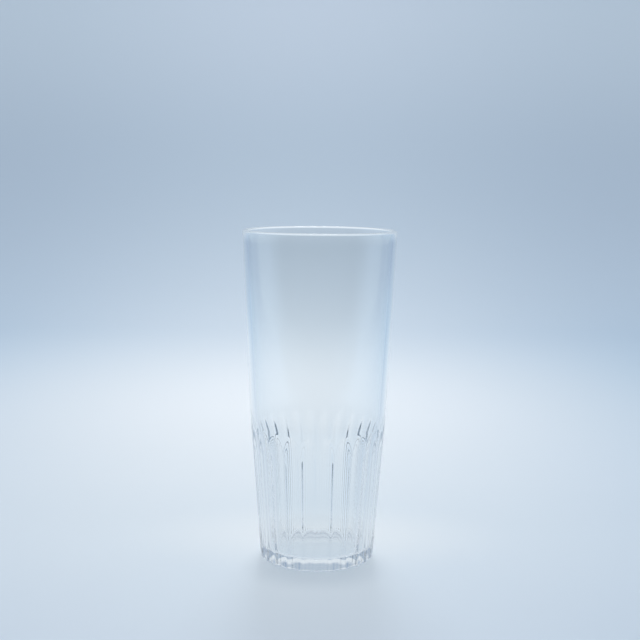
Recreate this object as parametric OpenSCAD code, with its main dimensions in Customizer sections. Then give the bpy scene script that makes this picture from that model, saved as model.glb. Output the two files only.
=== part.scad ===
// Tall pressed-glass tumbler. The upper wall is plain, and the lower wall has a ring of
// concave flutes that run down to the foot and fade out in round-topped arches.
// One solid piece of glass, standing on a narrow flat ring. Millimetres, +Z up,
// origin in the middle of the foot.

/* [Body] */
// Full height of the glass
height = 147; // [135:1:165]
// Outside width at the rim
rim_d = 68; // [65:0.5:74]
// Outside width over the ridges at the top of the flutes
shoulder_d = 60; // [58:0.5:62]
// Height of the top of the flutes
flute_top = 60.5; // [48:0.5:72]
// Outside width over the ridges at the foot
foot_d = 51; // [49:0.5:54]

/* [Wall] */
// Thickness of the wall at the rim, which is rounded over by half of it
rim_wall = 2; // [1.6:0.1:2.6]
// Thickness of the plain wall just above the flutes
plain_wall = 2.6; // [2.2:0.1:3]
// Thickness of the fluted wall, from a ridge inwards
fluted_wall = 3.5; // [3.2:0.1:4.2]
// Depth below the top of the flutes at which the wall begins to thin
thin_below = 10.5; // [8:0.5:14]
// Height above the top of the flutes at which it has thinned to the plain wall
thin_above = 3.5; // [2:0.5:6]
// Thickness of the bottom, measured at the standing ring
floor_t = 4.8; // [4:0.1:8]
// Radius of the corner between the inside floor and the wall
well_r = 2; // [1.5:0.5:6]

/* [Flutes] */
// Number of flutes round the lower wall
flutes = 24; // [20:1:28]
// Radius of the round hollow of each flute
flute_r = 7; // [6:0.5:10]
// Width of the plain land left along each ridge
ridge_land = 0.5; // [0.3:0.1:0.9]
// Height over which a flute rises out of the wall at its top
runout = 15; // [8:0.5:20]

/* [Foot] */
// Radius of the rounded edge round the foot
heel_r = 0.9; // [0.6:0.1:1.4]
// Width of the flat standing ring, from the rounded edge inwards
ring_w = 4.5; // [3:0.5:7]
// Depth of the shallow hollow under the bottom, inside the ring
punt = 0.8; // [0.4:0.1:1.5]

/* [Hidden] */
$fn = 128;
// Colour of the glass, and how much of it stops the view
glass = [0.86, 0.92, 0.97, 0.35];

rim_r = rim_d / 2;
shoulder_r = shoulder_d / 2;
foot_r = foot_d / 2;

// Unit vector square to a wall of this slope (width per height), pointing out and down
function square_to(slope) = [1, -slope] / sqrt(1 + slope ^ 2);

// A straight wall runs into a rounded edge at this share of the edge's radius, so that
// the two surfaces always cross
touch_share = 0.999;

// Centre of the rounded rim
lip_r = rim_wall / 2;
lip = [rim_r - lip_r, height - lip_r];

// Where a straight wall that rises from point p runs into the rounded rim without a
// corner, on its outer side (1) or its inner side (-1)
function rim_touch(p, side) =
    let (
        reach = norm(lip - p),
        touch = touch_share * lip_r,
        rise = atan2(lip.y - p.y, lip.x - p.x) - side * asin(touch / reach)
    )
    p + sqrt(reach ^ 2 - touch ^ 2) * [cos(rise), sin(rise)];

// Widening of the outer wall per height, below and above the top of the flutes
low_slope = (shoulder_r - foot_r) / flute_top;
high_slope = (rim_r - shoulder_r) / (lip.y - flute_top);

// The inside is parallel to the fluted wall up to thin_low, widens faster up to thin_high,
// and then runs straight to the rim
thin_low = [shoulder_r - low_slope * thin_below - fluted_wall, flute_top - thin_below];
thin_high = [shoulder_r + high_slope * thin_above - plain_wall, flute_top + thin_above];
lip_out = rim_touch([shoulder_r, flute_top], 1);
lip_in = rim_touch(thin_high, -1);

// Centre of the rounded edge of the foot, and where it meets the outer wall
heel = [foot_r + low_slope * heel_r - heel_r * sqrt(1 + low_slope ^ 2), heel_r];
heel_out = heel + touch_share * heel_r * square_to(low_slope);

// Centre of the rounded corner between the inside floor and the wall, and where the
// corner meets the wall
well_y = floor_t + well_r;
well = [
    foot_r + low_slope * well_y - fluted_wall - well_r * sqrt(1 + low_slope ^ 2),
    well_y,
];
well_out = well + touch_share * well_r * square_to(low_slope);

// Hollow under the bottom: a shallow part of a large ball
ring_in_r = heel.x - ring_w;
punt_ball_r = (ring_in_r ^ 2 + punt ^ 2) / (2 * punt);

// Half width of a flute where it meets the wall, at the foot and at its top
half_step = 180 / flutes;
foot_half_w = foot_r * sin(half_step) - ridge_land / 2;
top_half_w = shoulder_r * sin(half_step) - ridge_land / 2;

// Distance from the axis to the middle line of the hollow, which puts its edges on the wall
foot_line = sqrt(foot_r ^ 2 - foot_half_w ^ 2) + sqrt(flute_r ^ 2 - foot_half_w ^ 2);
top_line = sqrt(shoulder_r ^ 2 - top_half_w ^ 2) + sqrt(flute_r ^ 2 - top_half_w ^ 2);
lean = atan((top_line - foot_line) / flute_top);

// The hollow runs straight up to the turn, then bends outwards on a wide arc
turn_z = flute_top - runout;
turn = [foot_line + (top_line - foot_line) * turn_z / flute_top, 0, turn_z];
flute_depth = shoulder_r - (top_line - flute_r);
bend_r = (runout ^ 2 + flute_depth ^ 2) / (2 * flute_depth);
// How far past the wall the arc is carried, as a share of the flute's depth
past_share = 0.6;
bend = acos(1 - flute_depth * (1 + past_share) / bend_r);
// How far the straight part is carried below the foot, as a share of the run-out
below_share = 0.3;
straight = (turn_z + runout * below_share) / cos(lean);

// Half section of the plain glass, before the flutes
module wall_section() {
    difference() {
        union() {
            polygon([
                [0, 0], [heel.x, 0], heel_out, [shoulder_r, flute_top], lip_out, lip,
                lip_in, thin_high, thin_low, well_out, [well.x, floor_t], [0, floor_t],
            ]);
            translate(lip) circle(r = lip_r);
            translate(heel) circle(r = heel_r);
        }
        translate(well) circle(r = well_r);
        translate([0, punt - punt_ball_r]) circle(r = punt_ball_r, $fn = 4 * $fn);
    }
}

// The hollow of one flute, as a solid: a straight round bar that bends away at the top
module flute_bar() {
    translate(turn) rotate([0, lean, 0]) {
        translate([0, 0, -straight]) cylinder(h = straight, r = flute_r);
        translate([bend_r - flute_r, 0, 0]) rotate([90, 0, 180])
            rotate_extrude(angle = bend) translate([bend_r - flute_r, 0]) circle(r = flute_r);
    }
}

module tumbler() {
    color(glass)
    difference() {
        rotate_extrude() wall_section();
        for (i = [0 : flutes - 1]) rotate([0, 0, (i + 0.5) * 2 * half_step - 90]) flute_bar();
    }
}

tumbler();
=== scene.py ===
# %% [markdown]
# # A tall fluted tumbler
# The object is one piece of clear glass: a long-drink tumbler whose upper wall is plain and
# whose lower wall is pressed into a ring of hollow flutes. Clear glass has no colour of its
# own to paint, so nearly all of its look comes from two things: a true shape, inside as well
# as outside, and a true room round it for the glass to bend and mirror.

# %% Load the measured glass
import math

import bpy
import numpy as np
from mathutils import Matrix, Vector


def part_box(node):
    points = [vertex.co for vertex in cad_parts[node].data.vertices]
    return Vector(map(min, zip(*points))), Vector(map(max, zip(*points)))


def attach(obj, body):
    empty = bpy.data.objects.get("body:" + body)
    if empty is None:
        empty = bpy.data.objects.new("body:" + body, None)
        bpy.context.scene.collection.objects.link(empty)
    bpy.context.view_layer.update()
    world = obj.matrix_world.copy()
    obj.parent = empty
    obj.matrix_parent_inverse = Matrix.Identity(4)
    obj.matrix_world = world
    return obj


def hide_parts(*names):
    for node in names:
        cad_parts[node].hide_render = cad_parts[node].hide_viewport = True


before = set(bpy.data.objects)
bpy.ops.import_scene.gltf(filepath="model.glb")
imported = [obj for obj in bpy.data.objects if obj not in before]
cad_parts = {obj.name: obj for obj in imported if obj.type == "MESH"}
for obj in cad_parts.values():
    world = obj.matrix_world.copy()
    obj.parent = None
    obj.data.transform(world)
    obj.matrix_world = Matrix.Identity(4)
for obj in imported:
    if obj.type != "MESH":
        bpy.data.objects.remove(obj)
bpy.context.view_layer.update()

low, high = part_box("tumbler")
print("measured glass", [round(side, 4) for side in high - low], "m")

# %% [markdown]
# ## Sizes
# The height and the width of the rim come from the measured glass. The other sizes are those
# a mould maker would write on the drawing, in metres: where the flutes stop, how thick the
# wall is, how deep each flute is cut. They could be typed in where they are used, but a value
# with a name is easier to find and to change. One millimetre has a name too, so that the
# sizes read as they would on the drawing.

# %% Sizes of the body and the wall
MM = 0.001
height = high.z
rim_r = (high.x - low.x) / 2
shoulder_r = 30 * MM        # outside radius at the top of the flutes, over the ridges
flute_top = 60.5 * MM
foot_r = 25.5 * MM          # outside radius at the foot, over the ridges
rim_wall = 2 * MM
plain_wall = 2.6 * MM       # just above the flutes
fluted_wall = 3.5 * MM      # from a ridge inwards
thin_below = 10.5 * MM      # the wall begins to thin this far below the top of the flutes
thin_above = 3.5 * MM       # and has thinned to the plain wall this far above it
floor_t = 4.8 * MM          # the inside floor, above the table
well_r = 2 * MM             # corner between the floor and the wall
heel_r = 0.9 * MM           # rounded edge of the foot
ring_w = 4.5 * MM           # flat standing ring
punt = 0.8 * MM             # hollow under the foot
print("height", round(height / MM, 1), "rim", round(2 * rim_r / MM, 1), "mm")

# %% Sizes of the flutes
flutes = 24
flute_r = 7 * MM            # radius of the round hollow
ridge_land = 0.5 * MM       # plain glass left along a ridge
runout = 15 * MM            # height over which a flute fades out
ridge_polish = 0.5 * MM     # how far the flame softens a ridge
arch_polish = 0.25 * MM     # and the top of an arch
half_step = math.pi / flutes
print("one flute every", round(math.degrees(2 * half_step), 1), "degrees")

# %% [markdown]
# ## The outer wall
# Two straight tapers meet at the top of the flutes. In the mould, a flute is a round hollow
# that runs up the wall with its edges on the taper, then swings outwards on a wide arc and
# leaves the glass in a round-topped arch. It could be cut from the wall with boolean tools, but
# those leave ragged triangles that show badly in glass. Here the radius of the wall is worked
# out as a height field instead, one value for each angle and height, which gives an even net
# of quads. The field covers one flute only, because they are all alike.

# %% Radius of the plain outer wall
lip_r = rim_wall / 2


def plain_radius(z):
    """Outside radius of the wall, before the flutes, at height z."""
    if z < flute_top:
        return foot_r + (shoulder_r - foot_r) * z / flute_top
    return shoulder_r + (rim_r - shoulder_r) * (z - flute_top) / (height - lip_r - flute_top)


print("plain wall at the foot, half way up and at the rim:",
      [round(plain_radius(z) / MM, 2) for z in (0, height / 2, height)], "mm")

# %% Radius of one hollow flute


def hollow_line(wall_r):
    """Distance from the glass's axis to the hollow's middle line, its edges on the wall."""
    half_w = wall_r * math.sin(half_step) - ridge_land / 2
    return math.sqrt(wall_r ** 2 - half_w ** 2) + math.sqrt(flute_r ** 2 - half_w ** 2)


foot_line, top_line = hollow_line(foot_r), hollow_line(shoulder_r)
flute_depth = shoulder_r - (top_line - flute_r)
bend_r = (runout ** 2 + flute_depth ** 2) / (2 * flute_depth)


def flute_radius(angle, z):
    """Radius of the hollow's wall, at an angle from the middle of the flute."""
    line = foot_line + (top_line - foot_line) * z / flute_top
    past = z - (flute_top - runout)
    if past > 0:
        line += bend_r - math.sqrt(bend_r ** 2 - past ** 2)
    inside = flute_r ** 2 - (line * np.sin(angle)) ** 2
    return np.where(inside > 0, line * np.cos(angle) - np.sqrt(np.maximum(inside, 0)), np.inf)


print("flute depth", round(flute_depth / MM, 2), "mm, on an arc of", round(bend_r / MM), "mm")

# %% [markdown]
# ## Flame-polished edges
# Pressed glass is passed through a flame, and every edge melts a little. A bevel modifier could
# round the ridges, but not the arches, whose edge fades away. Blurring the height field does
# what the flame does: it rounds sharp edges, and leaves broad curves as they are. The ridges
# stand proud in the flame and melt twice as far as the arches.

# %% A blur that works like the flame
bell_widths = 3             # a bell curve is as good as flat this many widths out


def soften(field, width, axis, wrap):
    """Blurs a height field along one axis with a bell curve; width is in steps of the net."""
    reach = int(bell_widths * width) + 1
    bell = np.exp(-np.arange(-reach, reach + 1) ** 2 / (2 * width ** 2))
    pad = [(0, 0), (0, 0)]
    pad[axis] = (reach, reach)
    padded = np.pad(field, pad, mode="wrap" if wrap else "edge")
    return np.apply_along_axis(np.convolve, axis, padded, bell / bell.sum(), mode="valid")


print("the blur reaches", bell_widths * ridge_polish / MM, "mm at a ridge")

# %% Height field of one flute, softened by the flame
net = 0.2 * MM
field_below, field_above = 4 * net, 2 * runout / 3
field_columns = 96
field_z = np.arange(-field_below, flute_top + field_above, net)
field_angle = np.linspace(-half_step, half_step, field_columns, endpoint=False)
field = np.array([
    np.minimum(plain_radius(z), flute_radius(field_angle, z)) if z < flute_top + net
    else np.full(len(field_angle), plain_radius(z))
    for z in field_z
])
angle_step = shoulder_r * (field_angle[1] - field_angle[0])
field = soften(field, ridge_polish / angle_step, 1, True)
field = soften(field, arch_polish / net, 0, False)
print("height field", field.shape, "from", round(field.min() / MM, 2),
      "to", round(field.max() / MM, 2), "mm")

# %% [markdown]
# ## The net of the glass
# The glass is one closed skin, built ring by ring, the way a potter coils a pot: up the outside,
# over the rim, down the inside, across the floor, then back under the foot to where it began.
# A screw modifier could spin a plain outline, but it would leave out the flutes. The columns
# crowd together at the ridges, where the surface turns fastest. Every ring has the same
# columns, so the skin is quads all over, but for a small fan of triangles in the middle of
# the floor and another under the foot.

# %% Columns of the net
per_flute = 20
share = np.linspace(-1, 1, per_flute, endpoint=False)
in_flute = half_step * (share + np.sin(share * math.pi / 2)) / 2
columns = np.concatenate([in_flute + (2 * i + 1) * half_step for i in range(flutes)])
column_share = np.tile(in_flute, flutes)
print(len(columns), "columns")

# %% The outer wall at one height


def outer_radii(z):
    """Outside radius of every column at height z, flutes included."""
    if z > field_z[-1]:
        return np.full(len(columns), plain_radius(z))
    place = (z - field_z[0]) / net
    row = int(place)
    mixed = field[row] + (field[row + 1] - field[row]) * (place - row)
    return np.interp(column_share, field_angle, mixed, period=2 * half_step)


print("wall half way up the flutes, from", round(outer_radii(flute_top / 2).min() / MM, 2),
      "to", round(outer_radii(flute_top / 2).max() / MM, 2), "mm")

# %% Rings and rounded edges
rings = []


def add_ring(radius, z):
    """Adds one ring of points; the first column starts on the side that faces the camera."""
    radius = np.broadcast_to(radius, len(columns))
    rings.append([
        (r * math.sin(angle), -r * math.cos(angle), z) for r, angle in zip(radius, columns)
    ])


def quarter(steps):
    """Angles of a quarter turn, both ends included."""
    return [math.pi / 2 * step / steps for step in range(steps + 1)]


heel_steps, lip_steps, well_steps = 7, 8, 10
print("steps round the heel, each half of the lip and the corner inside:",
      heel_steps, lip_steps, well_steps)

# %% The rings up the outside and over the rim
for turn in quarter(heel_steps):
    add_ring(outer_radii(heel_r * (1 - math.cos(turn))) - heel_r * (1 - math.sin(turn)),
             heel_r * (1 - math.cos(turn)))
arch_low, arch_high = flute_top - runout - 1 * MM, flute_top + 2 * MM
arch_ring_gap = 0.4 * MM    # the arches need the closest rings
below_arches, above_arches = 16, 20
for z in [
    *np.linspace(heel_r, arch_low, below_arches)[1:],
    *np.arange(arch_low, arch_high, arch_ring_gap)[1:],
    *np.linspace(arch_high, height - lip_r, above_arches),
]:
    add_ring(outer_radii(z), z)
over_lip = quarter(lip_steps)[1:]
for turn in over_lip + [math.pi / 2 + turn for turn in over_lip]:
    add_ring(rim_r - lip_r + lip_r * math.cos(turn), height - lip_r + lip_r * math.sin(turn))
print(len(rings), "rings up the outside and over the rim")

# %% The rings down the inside and across the floor
wall_heights = [0, flute_top - thin_below, flute_top + thin_above, height - lip_r]
wall_thickness = [fluted_wall, fluted_wall, plain_wall, rim_wall]


def inner_radius(z):
    """Radius of the inside wall at height z."""
    return plain_radius(z) - float(np.interp(z, wall_heights, wall_thickness))


inside_rings = 60
for z in np.linspace(height - lip_r, floor_t + well_r, inside_rings)[1:]:
    add_ring(inner_radius(z), z)
well_centre_r = inner_radius(floor_t + well_r) - well_r
for turn in quarter(well_steps)[1:]:
    add_ring(well_centre_r + well_r * math.cos(turn), floor_t + well_r * (1 - math.sin(turn)))
floor_shares = (0.85, 0.6, 0.35, 0.12)      # of the floor's radius
for part in floor_shares:
    add_ring(well_centre_r * part, floor_t)
print(len(rings), "rings so far; the floor is", round(well_centre_r / MM, 1), "mm in radius")

# %% The rings under the foot
ring_in_r = foot_r - heel_r - ring_w
ball_r = (ring_in_r ** 2 + punt ** 2) / (2 * punt)
under_shares = (0.12, 0.35, 0.6, 0.8, 0.93, 1)
under = len(rings)
for part in under_shares:
    r = ring_in_r * part
    add_ring(r, punt - ball_r + math.sqrt(ball_r ** 2 - r ** 2))
print("the hollow is part of a ball", round(ball_r / MM), "mm in radius")

# %% The skin over all the rings
points = [point for ring in rings for point in ring]
starts = [ring * len(columns) for ring in range(len(rings))]
neighbours = [(i, (i + 1) % len(columns)) for i in range(len(columns))]
faces = []
for ring, here in enumerate(starts):
    there = starts[(ring + 1) % len(starts)]
    if ring + 1 != under:
        faces += [(here + i, here + j, there + j, there + i) for i, j in neighbours]
for here, z, up in ((starts[under - 1], floor_t, True), (starts[under], punt, False)):
    middle = len(points)
    points.append((0, 0, z))
    faces += [(here + i, here + j, middle) if up else (here + j, here + i, middle)
              for i, j in neighbours]
print(len(points), "points and", len(faces), "faces")

# %% The glass as an object
skin = bpy.data.meshes.new("glass_tumbler")
skin.from_pydata(points, [], faces)
skin.update()
skin.polygons.foreach_set("use_smooth", [True] * len(skin.polygons))
tumbler = bpy.data.objects.new("glass_tumbler", skin)
bpy.context.scene.collection.objects.link(tumbler)
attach(tumbler, "root")
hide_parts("tumbler")
print("object", tumbler.name)

# %% Every edge of a closed skin has two faces
edge_uses = {}
for face in faces:
    for a, b in zip(face, face[1:] + face[:1]):
        edge = (min(a, b), max(a, b))
        edge_uses[edge] = edge_uses.get(edge, 0) + 1
print("skin closed:", all(uses == 2 for uses in edge_uses.values()))

# %% [markdown]
# ## Glass
# Clear glass lets all light through and bends it, with an index of 1.5 and the faintest cool
# tint. The Glass shader could do it, but the Principled one does the same with full
# transmission, and other programs read it too. Two faint effects keep the glass from looking
# like a drawing. Pressed glass is never quite flat, because it chills against the mould in
# soft waves; and a washed glass carries a thin film that dries in patches. Each is a node
# group of its own, so that it can be used on other glass as well.

# %% A node group for the soft waves left by the mould


def new_group(name, inputs, outputs):
    """A shader node group with the named sockets; inputs have their usual values."""
    group = bpy.data.node_groups.new(name, "ShaderNodeTree")
    for socket, value in inputs.items():
        made = group.interface.new_socket(socket, in_out="INPUT", socket_type="NodeSocketFloat")
        made.default_value = value
    for socket in outputs:
        group.interface.new_socket(socket, in_out="OUTPUT", socket_type="NodeSocketFloat")
    return group, group.nodes.new("NodeGroupInput"), group.nodes.new("NodeGroupOutput")


def object_noise(group, scale_socket, detail):
    """Noise over the object's own space, its scale taken from a socket."""
    place = group.nodes.new("ShaderNodeTexCoord")
    noise = group.nodes.new("ShaderNodeTexNoise")
    noise.inputs["Detail"].default_value = detail
    group.links.new(place.outputs["Object"], noise.inputs["Vector"])
    group.links.new(scale_socket, noise.inputs["Scale"])
    return noise


smooth, patchy = 0.0, 3.0   # how much fine detail the noise has
waves, waves_in, waves_out = new_group("mould_waves", {"Waves per metre": 60.0}, ["Height"])
wave_noise = object_noise(waves, waves_in.outputs["Waves per metre"], smooth)
waves.links.new(wave_noise.outputs["Fac"], waves_out.inputs["Height"])
print("group", waves.name)

# %% A node group for the dried film
film, film_in, film_out = new_group(
    "dried_film", {"Patches per metre": 90.0, "Clean": 0.0, "Filmed": 0.02}, ["Roughness"]
)
film_begins, film_full = 0.5, 0.75          # of the noise's full height
patches = object_noise(film, film_in.outputs["Patches per metre"], patchy)
spread = film.nodes.new("ShaderNodeMapRange")
spread.inputs["From Min"].default_value = film_begins
spread.inputs["From Max"].default_value = film_full
film.links.new(patches.outputs["Fac"], spread.inputs["Value"])
film.links.new(film_in.outputs["Clean"], spread.inputs["To Min"])
film.links.new(film_in.outputs["Filmed"], spread.inputs["To Max"])
film.links.new(spread.outputs["Result"], film_out.inputs["Roughness"])
print("group", film.name)

# %% The glass itself
glass = bpy.data.materials.new("clear_pressed_glass")
glass.use_nodes = True
nodes, links = glass.node_tree.nodes, glass.node_tree.links
shader = nodes["Principled BSDF"]
shader.inputs["Base Color"].default_value = (0.962, 0.978, 0.984, 1)
shader.inputs["Transmission Weight"].default_value = 1
shader.inputs["IOR"].default_value = 1.5
film_use = nodes.new("ShaderNodeGroup")
film_use.node_tree = film
film_use.inputs["Filmed"].default_value = 0.012
links.new(film_use.outputs["Roughness"], shader.inputs["Roughness"])
print("material", glass.name)

# %% The waves in its surface
wave_use = nodes.new("ShaderNodeGroup")
wave_use.node_tree = waves
bump = nodes.new("ShaderNodeBump")
bump.inputs["Strength"].default_value = 0.5
bump.inputs["Distance"].default_value = 0.03 * MM
links.new(wave_use.outputs["Height"], bump.inputs["Height"])
links.new(bump.outputs["Normal"], shader.inputs["Normal"])
skin.materials.append(glass)
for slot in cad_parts["tumbler"].material_slots:
    slot.material = glass
print("the glass carries", [material.name for material in skin.materials])

# %% [markdown]
# ## The sweep
# The glass stands on a sheet of pale paper that curves up behind it. A table and a wall could
# be two planes, but then a line would show where the table ends. The paper reaches well in
# front of the glass too, where the camera does not see it but the glass does: the flutes
# mirror it.

# %% The paper as a curved sheet
sweep_front, sweep_flat, sweep_r = -0.75, 0.7, 0.5
sweep_top, sweep_half_w = 1.3, 1.3
bend_steps = 24
paper_gap = 0.02 * MM       # between the paper and the foot, so that they never share a place
profile = [(sweep_front, 0.0), (sweep_flat, 0.0)]
profile += [
    (sweep_flat + sweep_r * math.sin(turn), sweep_r * (1 - math.cos(turn)))
    for turn in quarter(bend_steps)[1:]
]
profile += [(sweep_flat + sweep_r, sweep_top)]
sheet_points = [(side * sweep_half_w, y, z - paper_gap) for y, z in profile for side in (-1, 1)]
sheet_faces = [(2 * i, 2 * i + 1, 2 * i + 3, 2 * i + 2) for i in range(len(profile) - 1)]
paper_mesh = bpy.data.meshes.new("paper_sweep")
paper_mesh.from_pydata(sheet_points, [], sheet_faces)
paper_mesh.polygons.foreach_set("use_smooth", [True] * len(sheet_faces))
paper = bpy.data.objects.new("paper_sweep", paper_mesh)
bpy.context.scene.collection.objects.link(paper)
print("paper from", sweep_front, "to", sweep_flat + sweep_r, "m")

# %% [markdown]
# ## The paper's tones
# A pool of light is painted on the paper a little way behind the glass, and painted shade makes
# the paper bluer and darker towards the back and the sides. Many lamps could paint these tones,
# but each of them would show in the glass as well. So the painted light and shade lie in the
# paper's own colour, as two runs of colour along the sweep, one down its middle and one down
# its sides, under an even light.

# %% Screen colours as shader colours


def linear(red, green, blue):
    """A screen colour, 0 to 255, as the linear colour that a shader works in."""
    def one(level):
        level /= 255
        return level / 12.92 if level <= 0.04045 else ((level + 0.055) / 1.055) ** 2.4
    return one(red), one(green), one(blue), 1


print("middle grey", round(linear(128, 128, 128)[0], 3))

# %% Wiring in few words: values, sums and fades


def put(value, socket):
    """Links an output to a socket, or writes a plain number or colour there."""
    if isinstance(value, bpy.types.NodeSocket):
        links.new(value, socket)
    else:
        socket.default_value = value


def worked(operation, first, second=None, kind="Math", result="Value"):
    """The result of a sum on one or two values, each an output or a plain number."""
    node = nodes.new("ShaderNode" + kind)
    node.operation = operation
    put(first, node.inputs[0])
    if second is not None:
        put(second, node.inputs[1])
    return node.outputs[result]


def fade(source, start, end, before=0, after=1, kind="SMOOTHSTEP"):
    """A change from one value to another while the source goes from start to end."""
    change = nodes.new("ShaderNodeMapRange")
    change.interpolation_type = kind
    for name, value in (("Value", source), ("From Min", start), ("From Max", end),
                        ("To Min", before), ("To Max", after)):
        put(value, change.inputs[name])
    return change.outputs["Result"]


print("helpers", [helper.__name__ for helper in (put, worked, fade)])

# %% How far along the sweep each point of the paper is
paper_look = bpy.data.materials.new("pale_paper")
paper_look.use_nodes = True
nodes, links = paper_look.node_tree.nodes, paper_look.node_tree.links
nodes.clear()
on_paper = nodes.new("ShaderNodeTexCoord").outputs["Object"]
axes = nodes.new("ShaderNodeSeparateXYZ")
put(on_paper, axes.inputs["Vector"])
tones_from, tones_to = -0.1, 1.6            # metres along the sweep, from the glass
up_sweep = worked("ADD", axes.outputs["Y"], axes.outputs["Z"])
along = fade(up_sweep, tones_from, tones_to, kind="LINEAR")
print("tones from", tones_from, "to", tones_to, "m along the sweep")

# %% The tones along it


def tones(source, stops):
    """A soft run of colours along a source from 0 to 1, each colour at its place."""
    ramp = nodes.new("ShaderNodeValToRGB")
    ramp.color_ramp.interpolation = "B_SPLINE"
    marks = ramp.color_ramp.elements
    while len(marks) < len(stops):
        marks.new(1)
    for mark, (place, colour) in zip(marks, stops):
        mark.position, mark.color = place, linear(*colour)
    put(source, ramp.inputs["Fac"])
    return ramp.outputs["Color"]


# the middle run holds the painted pool of light, the side run the painted shade towards the
# sides
middle_tones = tones(along, [
    (0, (198, 212, 227)), (0.06, (213, 225, 236)), (0.13, (215, 226, 236)),
    (0.26, (240, 246, 252)), (0.41, (222, 234, 245)), (0.59, (202, 217, 232)),
    (0.82, (168, 187, 206)), (1, (203, 216, 231)),
])
side_tones = tones(along, [
    (0, (166, 188, 212)), (0.13, (180, 203, 226)), (0.26, (173, 197, 219)),
    (0.41, (178, 200, 221)), (0.59, (181, 199, 218)), (0.82, (162, 180, 200)),
    (1, (192, 208, 223)),
])
print("made", middle_tones.node.name, "and", side_tones.node.name)

# %% Painted shade towards the paper's sides, darker painted shade far out, where only the glass looks


def laid_over(under, over, share, blend="MIX"):
    """One colour with another laid over it, fully where the share is 1."""
    mix = nodes.new("ShaderNodeMix")
    mix.data_type, mix.blend_type = "RGBA", blend
    for name, value in (("Factor", share), ("A", under), ("B", over)):
        put(value, mix.inputs[name])
    return mix.outputs["Result"]


pool_x, pool_w = -0.03, 0.45
far_from, far_to = 0.5, 0.85
far_painted_shade = linear(150, 170, 198)
off_side = worked("ABSOLUTE", worked("SUBTRACT", axes.outputs["X"], pool_x))
painted_pool_and_shade = laid_over(middle_tones, side_tones, fade(off_side, 0, pool_w))
with_far_shade = laid_over(painted_pool_and_shade, far_painted_shade, fade(off_side, far_from, far_to))
print("the pool fades over", pool_w, "m, and the far shade begins at", far_from, "m")

# %% [markdown]
# ## Light and shade at the foot
# A glass gathers some of the light beside its foot, and keeps some from the paper close in
# front of it. The renderer could trace that gathered light, but only slowly and with much
# noise. Two soft round patches painted into the paper's colour stand for it here: painted
# light round the foot, and painted shade close in front.

# %% A soft patch on the paper


def patch(centre, half_sizes, start, end, most):
    """A soft oval: its most up to the start, none from the end on, as shares of its size."""
    off_centre = worked("SUBTRACT", on_paper, (*centre, 0), "VectorMath", "Vector")
    shrink = (1 / half_sizes[0], 1 / half_sizes[1], 0)
    scaled = worked("MULTIPLY", off_centre, shrink, "VectorMath", "Vector")
    reach = worked("LENGTH", scaled, kind="VectorMath")
    return fade(reach, start, end, most, 0)


# painted light round the foot, and painted shade close in front of it
painted_glow_colour, painted_contact_shade = linear(232, 238, 243), linear(178, 194, 210)
glow = patch(centre=(0, 0.025), half_sizes=(0.1, 0.06), start=0, end=1, most=0.6)
close = patch(centre=(0, -0.016), half_sizes=(0.03, 0.03), start=0.5, end=1.2, most=0.5)
with_glow = laid_over(with_far_shade, painted_glow_colour, glow)
with_contact_shade = laid_over(with_glow, painted_contact_shade, close)
print("made", glow.node.name, "and", close.node.name)

# %% [markdown]
# ## The paper in the glass
# The glass shows the paper bent and mirrored many times over. The renderer leaves out the
# light that goes through the glass on to the paper, so plain lit paper is too dark there, and
# the glass would be full of that shade. Rays that come by way of the glass therefore meet
# paper that glows by itself, in the same colours, with the lit sheet's rise and fall of light
# painted into the glow. Far in front, mirrored rays find the paper painted dark, a painted
# shade that draws the long dark lines in the flutes. To every other ray it is matt paper, and
# keeps the shadow of the glass.

# %% The colour that it glows with there: painted light, and painted shade far in front for mirrored rays
paper_ray = nodes.new("ShaderNodeLightPath")
front_from, front_to = -0.13, -0.45         # metres in front of the glass
front_painted_shade = linear(14, 26, 56)
mirrored = fade(paper_ray.outputs["Glossy Depth"], 0, 1)
in_front = worked("MULTIPLY", fade(axes.outputs["Y"], front_from, front_to), mirrored)
in_glass_colour = laid_over(with_glow, front_painted_shade, in_front)
# painted light: the lit sheet's rise and fall of light, laid into the glow
light_on_it = tones(along, [
    (place, (level, level, level))
    for place, level in ((0, 236), (0.26, 255), (0.44, 245), (0.65, 240), (1, 226))
])
as_lit = laid_over(in_glass_colour, light_on_it, 1, "MULTIPLY")
print("dark for mirrored rays from", front_from, "to", front_to, "m")

# %% Matt paper for the eye, glowing paper for the glass
matt = nodes.new("ShaderNodeBsdfDiffuse")
glowing = nodes.new("ShaderNodeEmission")
put(with_contact_shade, matt.inputs["Color"])
put(as_lit, glowing.inputs["Color"])
glowing.inputs["Strength"].default_value = 1.12
through_glass = worked(
    "MAXIMUM", paper_ray.outputs["Is Glossy Ray"], paper_ray.outputs["Is Transmission Ray"]
)
mixed = nodes.new("ShaderNodeMixShader")
surface = nodes.new("ShaderNodeOutputMaterial")
for source, socket in (
    (through_glass, mixed.inputs["Fac"]), (matt.outputs["BSDF"], mixed.inputs[1]),
    (glowing.outputs["Emission"], mixed.inputs[2]),
    (mixed.outputs["Shader"], surface.inputs["Surface"]),
):
    put(source, socket)
paper_mesh.materials.append(paper_look)
print("material", paper_look.name)

# %% [markdown]
# ## The room
# The light is a bright, even room, like a white tent. A picture of a real room could be
# wrapped round the scene, but a room made of nodes needs no picture, and each of its tones can
# be set by itself. Glass needs dark as well as light, or its edges vanish: the side of the
# room by the camera is nearly black, which draws the blue-black leaves in the arches. Only
# mirrored rays see that dark side. Rays that go straight or are only bent see the same pale
# sky as the camera, and the paper is lit by a plain room, so that its colours come out as
# they are written.

# %% The room as a world
room = bpy.data.worlds.new("bright_room")
bpy.context.scene.world = room
room.use_nodes = True
nodes, links = room.node_tree.nodes, room.node_tree.links
nodes.clear()
output = nodes.new("ShaderNodeOutputWorld")
light = nodes.new("ShaderNodeBackground")
put(light.outputs["Background"], output.inputs["Surface"])
direction = nodes.new("ShaderNodeTexCoord").outputs["Generated"]
print("world", room.name)

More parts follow.
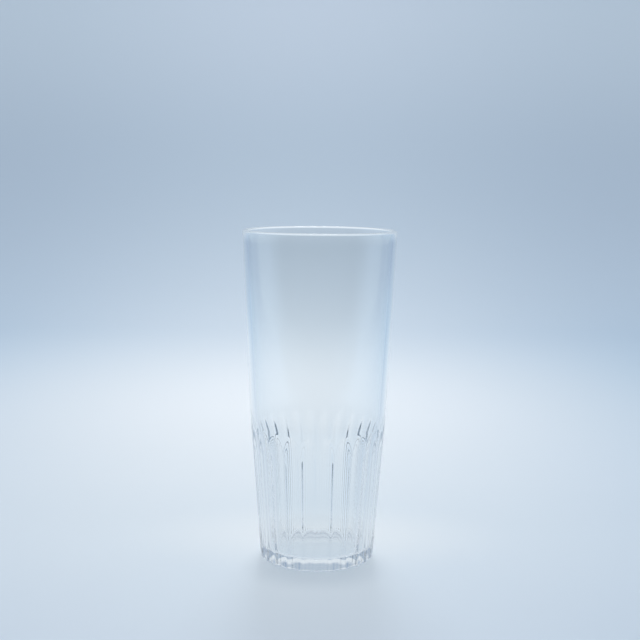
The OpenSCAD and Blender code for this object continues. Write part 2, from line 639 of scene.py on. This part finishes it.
# %% Its dark side
dark_lift, dark_half, dark_soft = math.radians(-30), math.radians(80), math.radians(18)
to_dark = (0, -math.cos(dark_lift), math.sin(dark_lift))
off_dark = fade(
    worked("DOT_PRODUCT", direction, to_dark, "VectorMath"),
    math.cos(dark_half - dark_soft), math.cos(dark_half + dark_soft), kind="LINEAR",
)
print("dark side", round(math.degrees(dark_half)), "degrees about the camera")

# %% The sky, darkest just over the horizon
rise = nodes.new("ShaderNodeSeparateXYZ")
put(direction, rise.inputs["Vector"])
straight_down, straight_up = -1, 1
upwards = fade(rise.outputs["Z"], straight_down, straight_up, kind="LINEAR")
sky = tones(upwards, [
    (0, (205, 222, 236)), (0.45, (222, 236, 246)), (0.515, (180, 200, 218)),
    (0.56, (176, 195, 214)), (0.75, (190, 205, 222)), (1, (238, 243, 250)),
])
print("made", sky.node.name, "for the sky")

# %% Which rays see which room
room_ray = nodes.new("ShaderNodeLightPath")
night_blue = linear(2, 9, 30)
plain_room = (0.97, 0.955, 0.935, 1)
once = 0.5                  # a depth below this means not even once
never_mirrored = worked("LESS_THAN", room_ray.outputs["Glossy Depth"], once)
off_paper = worked("LESS_THAN", room_ray.outputs["Diffuse Depth"], once)
bent = worked(
    "MAXIMUM", room_ray.outputs["Is Glossy Ray"], room_ray.outputs["Is Transmission Ray"]
)
looking = worked("MAXIMUM", bent, room_ray.outputs["Is Camera Ray"])
with_dark = laid_over(night_blue, sky, worked("MAXIMUM", never_mirrored, off_dark))
seen = laid_over(plain_room, with_dark, worked("MULTIPLY", looking, off_paper))
put(seen, light.inputs["Color"])
print("room", room.name)

# %% [markdown]
# ## The window and the low beam
# One broad soft light hangs above and behind the glass, like a window in the ceiling, and a
# low soft beam comes from farther back. One strong lamp could do the work of both, but its
# shadow would be hard and it would bleach the paper. These two add only a small part of the
# light, and give it a direction: the glass throws a soft shadow towards the camera, and the
# rim and the foot catch thin bright lines. Neither of them shows through the glass, where a
# lamp would be a hard white shape.

# %% The window


def hang(name, lamp, place):
    """A lamp at its place straight behind the glass, turned to face the foot."""
    hung = bpy.data.objects.new(name, lamp)
    hung.location = place
    hung.rotation_euler = (-math.atan2(hung.location.y, hung.location.z), 0, 0)
    bpy.context.scene.collection.objects.link(hung)
    return hung


window = bpy.data.lights.new("window_above", "AREA")
window.shape = "RECTANGLE"
window.size, window.size_y = 0.35, 0.3
window.energy = 2.3
window.color = (0.93, 0.965, 1)
hung_window = hang("window_above", window, (0, 0.72, 1.3))
hung_window.visible_transmission = False
print("window", round(window.size, 2), "by", round(window.size_y, 2), "m")

# %% The low beam, which draws the shadow towards the camera
beam = bpy.data.lights.new("low_beam", "SPOT")
beam.energy = 10
beam.spot_size, beam.spot_blend = math.radians(20), 1
beam.shadow_soft_size = 0.12
low_beam = hang("low_beam", beam, (0, 1.05, 0.34))
low_beam.visible_camera = low_beam.visible_glossy = low_beam.visible_transmission = False
slope = math.atan2(low_beam.location.z, low_beam.location.y)
print("beam at", round(math.degrees(slope)), "degrees")

# %% [markdown]
# ## The camera
# The photograph looks slightly down on the glass from half a metre away. A camera could be
# placed by eye, but glass bends a different part of the room from every place, so it is
# measured: the distance shows in how round the rim and the foot look, and the lens then
# follows from the glass's size in the picture.

# %% The camera
picture_side = 640          # pixels
focal_pixels = 1127
look_down, lean = math.radians(7.48), math.radians(0.58)
lens = bpy.data.cameras.new("camera")
lens.sensor_width = 36
lens.lens = focal_pixels / picture_side * lens.sensor_width
lens.clip_start = 0.01
camera = bpy.data.objects.new("camera", lens)
camera.location = (0.45 * MM, -495.4 * MM, 172.05 * MM)
level = Matrix.Rotation(math.pi / 2 - look_down, 3, "X")
camera.rotation_euler = (level @ Matrix.Rotation(lean, 3, "Z")).to_euler()
bpy.context.scene.collection.objects.link(camera)
bpy.context.scene.camera = camera
bpy.context.scene.view_settings.view_transform = "Standard"
print("lens", round(lens.lens, 1), "mm")

# %% [markdown]
# ## The way out of the glass
# In thick fluted glass a ray is turned back many times before it leaves. The renderer's usual
# dozen turns would be quicker, but rays that are given up too soon leave black lines in the
# ridges, and its usual blur of late mirrored rays leaves a dark ring. So the rays may turn
# often here, and stay sharp.

# %% Enough bounces, and no blur
paths = bpy.context.scene.cycles
paths.max_bounces = paths.transmission_bounces = paths.glossy_bounces = 128
paths.blur_glossy = 0
print("bounces", paths.max_bounces)
